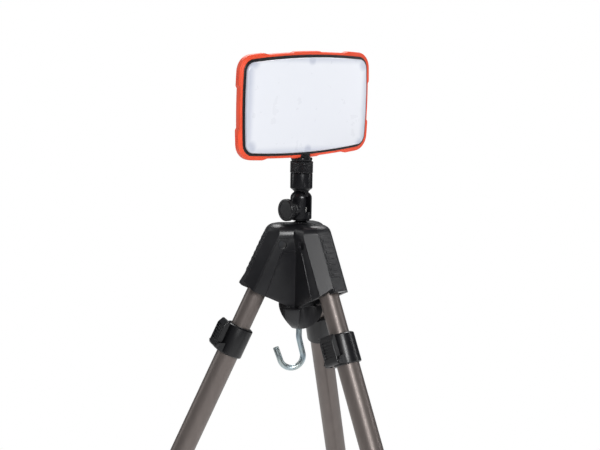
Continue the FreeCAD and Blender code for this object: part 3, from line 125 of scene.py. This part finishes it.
def add_floor():
    """A round pale floor that fades into the white of the studio at its rim."""
    mesh = bpy.data.meshes.new("floor")
    sides = 96
    corners = [(FLOOR_RADIUS * cos(2 * pi * i / sides), FLOOR_RADIUS * sin(2 * pi * i / sides), 0)
               for i in range(sides)]
    mesh.from_pydata(corners, [], [tuple(range(sides))])
    floor = bpy.data.objects.new("floor", mesh)
    scene.collection.objects.link(floor)
    shader = Shader("studio_floor")
    distance = shader.tree.nodes.new("ShaderNodeVectorMath")
    distance.operation = "LENGTH"
    shader.link(shader.place, distance.inputs[0])
    rim = shader.spread(distance.outputs["Value"], FLOOR_RADIUS * 0.2, FLOOR_RADIUS * 0.5, smooth=True)
    grain = shader.spread(shader.noise(9.0), 0.3, 0.7, 0.90, 0.93)
    pale = shader.blend(grain, (0.90, 0.90, 0.90), (0.96, 0.96, 0.96))
    shader.feed("Base Color", shader.blend(rim, pale, (0.0, 0.0, 0.0)))
    shader.feed("Emission Strength", shader.spread(rim, 0.0, 1.0, 0.1, 1.0))
    shader.set("Emission Color", (1, 1, 1, 1))
    shader.set("Roughness", 0.9)
    shader.set("Specular IOR Level", 0.0)
    mesh.materials.append(shader.material)


# ------------------------------------------------------------------ materials
class Shader:
    """A Principled material and short ways to wire nodes into it."""

    def __init__(self, name, turn=(0, 0, 0), stretch=(1, 1, 1)):
        self.material = bpy.data.materials.new(name)
        self.material.use_nodes = True
        self.tree = self.material.node_tree
        self.surface = self.tree.nodes["Principled BSDF"]
        source = self.tree.nodes.new("ShaderNodeTexCoord")
        mapping = self.tree.nodes.new("ShaderNodeMapping")
        mapping.inputs["Rotation"].default_value = turn
        mapping.inputs["Scale"].default_value = stretch
        self.link(source.outputs["Object"], mapping.inputs["Vector"])
        self.place = source.outputs["Object"]
        self.vector = mapping.outputs["Vector"]

    def link(self, output, target):
        self.tree.links.new(output, target)

    def set(self, socket, value):
        self.surface.inputs[socket].default_value = value

    def feed(self, socket, output):
        self.link(output, self.surface.inputs[socket])

    def noise(self, scale, detail=3.0, roughness=0.55, vector=None):
        node = self.tree.nodes.new("ShaderNodeTexNoise")
        node.inputs["Scale"].default_value = scale
        node.inputs["Detail"].default_value = detail
        node.inputs["Roughness"].default_value = roughness
        self.link(vector or self.vector, node.inputs["Vector"])
        return node.outputs["Fac"]

    def cells(self, scale, feature="F1"):
        node = self.tree.nodes.new("ShaderNodeTexVoronoi")
        node.feature = feature
        node.inputs["Scale"].default_value = scale
        self.link(self.vector, node.inputs["Vector"])
        return node.outputs["Distance"]

    def spread(self, value, low, high, to_low=0.0, to_high=1.0, smooth=False):
        node = self.tree.nodes.new("ShaderNodeMapRange")
        node.interpolation_type = "SMOOTHSTEP" if smooth else "LINEAR"
        self.link(value, node.inputs["Value"])
        limits = {"From Min": low, "From Max": high, "To Min": to_low, "To Max": to_high}
        for name, number in limits.items():
            node.inputs[name].default_value = number
        return node.outputs["Result"]

    def maths(self, operation, first, second=0.0):
        node = self.tree.nodes.new("ShaderNodeMath")
        node.operation = operation
        for socket, value in zip(node.inputs, (first, second)):
            if isinstance(value, (int, float)):
                socket.default_value = value
            else:
                self.link(value, socket)
        return node.outputs["Value"]

    def blend(self, amount, first, second):
        """Mix two colours, each a colour or a socket, by an amount from 0 to 1."""
        node = self.tree.nodes.new("ShaderNodeMix")
        node.data_type = "RGBA"
        self.link(amount, node.inputs["Factor"])
        for socket, colour in ((node.inputs[6], first), (node.inputs[7], second)):
            if isinstance(colour, tuple):
                socket.default_value = (*colour, 1.0)
            else:
                self.link(colour, socket)
        return node.outputs[2]

    def bump(self, *layers, soften=0.0):
        """Chain bumps, each (height socket, depth in metres, strength), over edges rounded by a radius."""
        normal = None
        if soften:
            rounded = self.tree.nodes.new("ShaderNodeBevel")
            rounded.samples = 6
            rounded.inputs["Radius"].default_value = soften
            normal = rounded.outputs["Normal"]
        for height, depth, strength in layers:
            node = self.tree.nodes.new("ShaderNodeBump")
            node.inputs["Distance"].default_value = depth
            node.inputs["Strength"].default_value = strength
            self.link(height, node.inputs["Height"])
            if normal:
                self.link(normal, node.inputs["Normal"])
            normal = node.outputs["Normal"]
        self.feed("Normal", normal)

    def edges(self, radius):
        """1 along edges that stick out or turn in, 0 on open surfaces."""
        bevel = self.tree.nodes.new("ShaderNodeBevel")
        bevel.samples = 4
        bevel.inputs["Radius"].default_value = radius
        geometry = self.tree.nodes.new("ShaderNodeNewGeometry")
        dot = self.tree.nodes.new("ShaderNodeVectorMath")
        dot.operation = "DOT_PRODUCT"
        self.link(bevel.outputs["Normal"], dot.inputs[0])
        self.link(geometry.outputs["Normal"], dot.inputs[1])
        return self.spread(dot.outputs["Value"], 0.995, 0.88)


def moulded_plastic(name, colour, roughness=0.42, grain=2600.0, depth=0.00004, wear=0.5, soften=0.0):
    """Injection-moulded plastic: eroded grain, faint flow mottle and rubbed edges."""
    shader = Shader(name)
    light = tuple(min(1.0, c * 1.35 + 0.001) for c in colour)
    rubbed = tuple(min(1.0, c * 2.0 + 0.015) for c in colour)
    mottle = shader.spread(shader.noise(38.0, 4.0), 0.35, 0.68)
    body = shader.blend(mottle, colour, light)
    patches = shader.spread(shader.noise(160.0), 0.4, 0.65, 0, wear)
    worn = shader.maths("MULTIPLY", shader.edges(0.0009), patches)
    shader.feed("Base Color", shader.blend(worn, body, rubbed))
    smudge = shader.spread(shader.noise(22.0, 5.0, 0.6), 0.3, 0.7, roughness - 0.07, roughness + 0.09)
    shader.feed("Roughness", smudge)
    shader.set("Specular IOR Level", 0.45)
    shader.bump((shader.noise(grain, 2.0), depth, 0.55), (shader.cells(grain * 0.45), depth, 0.25),
                soften=soften)
    return shader.material


def soft_rubber(name, colour, roughness=0.55, sheen=0.15, depth=0.00003):
    """Moulded rubber: silky, with a fine grain, uneven gloss and paler rubbed edges."""
    shader = Shader(name)
    pale = tuple(min(1.0, c * 1.16 + 0.02) for c in colour)
    deep = tuple(c * 0.86 for c in colour)
    tone = shader.blend(shader.spread(shader.noise(30.0, 4.0), 0.35, 0.65), deep, colour)
    patches = shader.spread(shader.noise(90.0), 0.35, 0.7, 0.1, 0.7)
    worn = shader.maths("MULTIPLY", shader.edges(0.0012), patches)
    shader.feed("Base Color", shader.blend(worn, tone, pale))
    gloss = shader.spread(shader.noise(45.0, 5.0), 0.3, 0.7, roughness - 0.08, roughness + 0.1)
    shader.feed("Roughness", gloss)
    shader.set("Sheen Weight", sheen)
    shader.set("Sheen Roughness", 0.5)
    shader.bump((shader.noise(3200.0, 2.0), depth, 0.5), (shader.noise(520.0, 2.0), depth, 0.3))
    return shader.material


def anodised(name, colour, roughness=0.36, turn=(0, 0, 0), stretch=(1, 1, 0.02), metallic=0.85):
    """Drawn and anodised aluminium: long fine drawing lines, soft cloudy tone and a few scuffs."""
    shader = Shader(name, turn=turn, stretch=stretch)
    shader.set("Metallic", metallic)
    lines = shader.noise(900.0, 4.0, 0.7)
    broad = shader.noise(120.0, 3.0)
    cloud = shader.noise(9.0, 4.0, vector=shader.place)
    dark = tuple(c * 0.86 for c in colour)
    light = tuple(min(1.0, c * 1.12) for c in colour)
    tone = shader.blend(shader.spread(cloud, 0.35, 0.65), dark, colour)
    tone = shader.blend(shader.spread(broad, 0.4, 0.7, 0.0, 0.5), tone, light)
    shader.feed("Base Color", tone)
    shader.feed("Roughness", shader.spread(lines, 0.3, 0.7, roughness - 0.07, roughness + 0.08))
    shader.bump((lines, 0.00001, 0.5), (shader.noise(1800.0, 2.0, vector=shader.place), 0.00001, 0.35))
    return shader.material


def zinc_plate(name, colour, roughness=0.24, soften=0.0):
    """Zinc-plated steel: bright, faintly blue and yellow in patches, with fine pits."""
    shader = Shader(name)
    shader.set("Metallic", 1.0)
    cool = tuple(c * f for c, f in zip(colour, (0.86, 0.94, 1.0)))
    warm = tuple(min(1.0, c * f) for c, f in zip(colour, (1.06, 1.03, 0.94)))
    patches = shader.spread(shader.noise(70.0, 3.0, 0.5), 0.35, 0.65)
    shader.feed("Base Color", shader.blend(patches, cool, warm))
    gloss = shader.spread(shader.noise(300.0, 3.0), 0.3, 0.7, roughness - 0.05, roughness + 0.07)
    shader.feed("Roughness", gloss)
    shader.bump((shader.noise(350.0, 2.0), 0.000006, 0.2), (shader.cells(900.0), 0.000004, 0.1),
                soften=soften)
    return shader.material


def circuit_board(name):
    """Green solder mask over copper tracks and glass weave."""
    shader = Shader(name)
    tracks = shader.spread(shader.cells(420.0, "DISTANCE_TO_EDGE"), 0.04, 0.07)
    mask = shader.blend(tracks, (0.03, 0.24, 0.09), (0.02, 0.14, 0.06))
    shader.feed("Base Color", mask)
    shader.feed("Roughness", shader.spread(shader.noise(300.0), 0.3, 0.7, 0.25, 0.4))
    shader.bump((tracks, 0.00004, 0.6), (shader.noise(2400.0), 0.00001, 0.3))
    return shader.material


def led_phosphor(name):
    shader = Shader(name)
    patches = shader.spread(shader.noise(700.0), 0.35, 0.65)
    dome = shader.blend(patches, (0.92, 0.72, 0.18), (0.98, 0.86, 0.35))
    shader.feed("Base Color", dome)
    shader.feed("Roughness", shader.spread(shader.noise(900.0), 0.3, 0.7, 0.3, 0.55))
    shader.bump((shader.noise(1800.0), 0.00003, 0.4))
    return shader.material


def cell_wrap(name):
    """Shrink film over a battery cell, with small creases."""
    shader = Shader(name, stretch=(0.3, 1, 1))
    film = shader.blend(shader.spread(shader.noise(60.0), 0.4, 0.6), (0.02, 0.10, 0.32), (0.03, 0.14, 0.42))
    shader.feed("Base Color", film)
    shader.set("Coat Weight", 0.4)
    shader.feed("Roughness", shader.spread(shader.noise(150.0), 0.3, 0.7, 0.2, 0.38))
    shader.bump((shader.noise(240.0, 5.0), 0.00015, 0.4))
    return shader.material


def milky_lens(name):
    """Translucent diffuser: brightest in the middle, with painted shade towards the rim, where the frame sits
    behind it, and painted shadows of the bosses behind it.
    """
    shader = Shader(name)
    low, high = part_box("diffuser_lens")
    middle = (low + high) / 2
    half = (high - low) / 2
    split = shader.tree.nodes.new("ShaderNodeSeparateXYZ")
    shader.link(shader.place, split.inputs["Vector"])
    x = shader.maths("ABSOLUTE", shader.maths("SUBTRACT", split.outputs["X"], middle.x))
    z = shader.maths("ABSOLUTE", shader.maths("SUBTRACT", split.outputs["Z"], middle.z))
    # painted shade: the lens greys towards its rim, where the frame sits behind it
    rim_shade_x = shader.spread(x, half.x - 0.012, half.x - 0.001, 0.0, 0.8, smooth=True)
    rim_shade_z = shader.spread(z, half.z - 0.009, half.z - 0.001, 0.0, 0.6, smooth=True)
    shade = shader.maths("MAXIMUM", rim_shade_x, rim_shade_z)
    # painted shadows of the screw bosses behind the diffuser: the four corners and the top and bottom middle
    bosses = [(0.082, 0.047, 0.013), (0.0, 0.0505, 0.009)]
    for boss_x, boss_z, radius in bosses:
        dx = shader.maths("SUBTRACT", x, boss_x)
        dz = shader.maths("SUBTRACT", z, boss_z)
        apart = shader.maths("SQRT", shader.maths("ADD", shader.maths("MULTIPLY", dx, dx),
                                                  shader.maths("MULTIPLY", dz, dz)))
        boss_shadow = shader.spread(apart, radius, radius * 0.35, 0.0, 0.8, smooth=True)
        shade = shader.maths("MAXIMUM", shade, boss_shadow)
    clouds = shader.spread(shader.noise(26.0, 2.0), 0.3, 0.7, 0.9, 1.1)
    shade = shader.maths("MULTIPLY", shade, clouds)
    # the painted shade and shadows turn the milky white towards grey-blue
    tone = shader.blend(shade, (0.84, 0.86, 0.915), (0.52, 0.555, 0.66))
    shader.feed("Base Color", tone)
    shader.feed("Roughness", shader.spread(shader.noise(70.0, 4.0), 0.3, 0.7, 0.26, 0.36))
    shader.set("Coat Weight", 0.15)
    shader.set("Coat Roughness", 0.2)
    shader.bump((shader.noise(2200.0, 2.0), 0.00001, 0.3))
    return shader.material


def leg_turn(name):
    """Turns that bring a leg's axis onto the texture's Z axis."""
    direction = -Vector(JOINTS[f"{name}_leg_slide"]["axis"])
    return direction.rotation_difference(up).to_euler()


def make_materials():
    made = {
        "hub_plastic": moulded_plastic("hub_plastic", (0.009, 0.009, 0.0105), 0.34, 2400.0, 0.00004, 0.5,
                                       soften=0.0006),
        "black_plastic": moulded_plastic("black_plastic", (0.005, 0.005, 0.006), 0.3, 2800.0, 0.00003, 0.4),
        "black_anodised": anodised("black_anodised", (0.009, 0.009, 0.011), 0.28, stretch=(1, 1, 0.15),
                                   metallic=0.3),
        "zinc_steel": zinc_plate("zinc_steel", (0.42, 0.49, 0.53), 0.32, soften=0.0012),
        "dark_steel": zinc_plate("dark_steel", (0.06, 0.06, 0.065), 0.35),
        "guide_plastic": moulded_plastic("guide_plastic", (0.62, 0.62, 0.58), 0.45),
        "foot_rubber": soft_rubber("foot_rubber", (0.022, 0.022, 0.023), 0.7, 0.1),
        "orange_rubber": soft_rubber("orange_rubber", (0.93, 0.085, 0.027), 0.46, 0.05),
        "gasket_rubber": soft_rubber("gasket_rubber", (0.005, 0.005, 0.006), 0.35, 0.0),
        "milky_lens": milky_lens("milky_lens"),
        "white_plastic": moulded_plastic("white_plastic", (0.82, 0.82, 0.82), 0.5),
        "circuit_board": circuit_board("circuit_board"),
        "led_phosphor": led_phosphor("led_phosphor"),
        "bare_aluminium": anodised("bare_aluminium", (0.72, 0.73, 0.75), 0.32, stretch=(0.03, 1, 1),
                                   metallic=1.0),
        "cell_wrap": cell_wrap("cell_wrap"),
        "brass": zinc_plate("brass", (0.72, 0.52, 0.22), 0.26),
    }
    for leg in ("front", "left", "right"):
        name = f"{leg}_tube_bronze"
        made[name] = anodised(name, (0.170, 0.145, 0.134), 0.42, leg_turn(leg), metallic=0.5)
    return made


# ------------------------------------------------------------------ CAD nodes
WELD_DISTANCE = 0.000004
SMALL_BEVEL = 0.00035
BEVEL_ANGLE = 32                    # degrees: flatter joins are left as they are
BEVELS = {"hub_shell": 0.0005, "hub_core": 0.0006, "tilt_fork": 0.0004, "swivel_barrel": 0.0003,
          "bumper_frame": 0.0004, "rear_housing": 0.0005}
ROUNDED_SLOTS = {"hub_plastic", "black_plastic", "black_anodised", "orange_rubber", "gasket_rubber",
                 "zinc_steel", "dark_steel", "foot_rubber"}
ROUND_WIRES = {"weight_hook"}        # round all over, with no edge to soften


def finish_node(name, slot, materials):
    """Give a CAD node its material, and soften its edges with modifiers."""
    node = NODES[name]
    if slot == "tube_bronze":
        material = materials[f"{name.split('_')[0]}_tube_bronze"]
    else:
        material = materials[slot]
    node.data.materials.clear()
    node.data.materials.append(material)
    weld = node.modifiers.new("weld", "WELD")
    weld.merge_threshold = WELD_DISTANCE
    if slot in ROUNDED_SLOTS and name not in ROUND_WIRES:
        bevel = node.modifiers.new("soft_edges", "BEVEL")
        bevel.width = BEVELS.get(name, SMALL_BEVEL)
        bevel.segments = 3
        bevel.limit_method = "ANGLE"
        bevel.angle_limit = radians(BEVEL_ANGLE)
        bevel.use_clamp_overlap = True
        bevel.harden_normals = True


def finish_nodes(materials):
    slots = {entry["node"]: entry["material_slot"] for entry in frame["record"]["subparts"]}
    for name in NODES:
        finish_node(name, slots[name], materials)


# ------------------------------------------------------------------ new pieces
def new_piece(name, vertices, faces, material, body, replaced):
    mesh = bpy.data.meshes.new(name)
    mesh.from_pydata(vertices, [], faces)
    mesh.validate()
    mesh.materials.append(material)
    piece = bpy.data.objects.new(name, mesh)
    scene.collection.objects.link(piece)
    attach(piece, body)
    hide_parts(replaced)
    return piece


def knurled_ring(material):
    """The clamp ring with a pressed diamond knurl between two plain bands."""
    low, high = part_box("knurled_nut")
    radius = (high.x - low.x) / 2
    bore = 0.00805
    diamonds, per_diamond = 40, 8
    around = diamonds * per_diamond
    height = high.z - low.z
    pitch = 2 * pi * radius / diamonds
    lead = 1.25
    band = 0.0011
    depth = 0.00064
    chamfer = 0.0004
    step = 0.0003
    heights = [0.0, chamfer, band - step]
    rows = int((height - 2 * band) / (pitch * lead / per_diamond))
    heights += [band + (height - 2 * band) * i / rows for i in range(rows + 1)]
    heights += [height - band + step, height - chamfer, height]
    profile = []
    for z in heights:
        edge = min(z, height - z)
        plain = radius - (chamfer if edge < chamfer / 2 else 0.0)
        cut = 0.0 if edge < band - 0.0001 else min(1.0, (edge - band) / 0.0005 + 0.35)
        profile.append((z, plain, cut))
    vertices, faces = [], []
    for z, plain, cut in profile:
        for i in range(around):
            turn = i / per_diamond
            rise = z / (pitch * lead)
            ridge = [abs(((turn + side * rise) % 1.0) - 0.5) * 2 for side in (1, -1)]
            groove = max(min(1.0, value) ** 1.4 for value in ridge)
            r = plain - depth * cut * groove
            angle = 2 * pi * i / around
            vertices.append((HUB_TOP.x + r * cos(angle), HUB_TOP.y + r * sin(angle), low.z + z))
    for row in range(len(profile) - 1):
        for i in range(around):
            j = (i + 1) % around
            below, above = row * around, (row + 1) * around
            faces.append((below + i, below + j, above + j, above + i))
    inner = len(vertices)
    for z in (0.0, height):
        for i in range(around):
            angle = 2 * pi * i / around
            vertices.append((HUB_TOP.x + bore * cos(angle), HUB_TOP.y + bore * sin(angle), low.z + z))
    last = (len(profile) - 1) * around
    for i in range(around):
        j = (i + 1) % around
        faces.append((j, i, inner + i, inner + j))
        faces.append((last + i, last + j, inner + around + j, inner + around + i))
        faces.append((inner + j, inner + i, inner + around + i, inner + around + j))
    return new_piece("diamond_knurled_ring", vertices, faces, material,
                     body="ring", replaced="knurled_nut")


# ------------------------------------------------------------------ build
add_camera()
add_lights()
add_floor()
materials = make_materials()
finish_nodes(materials)
knurled_ring(materials["black_anodised"])
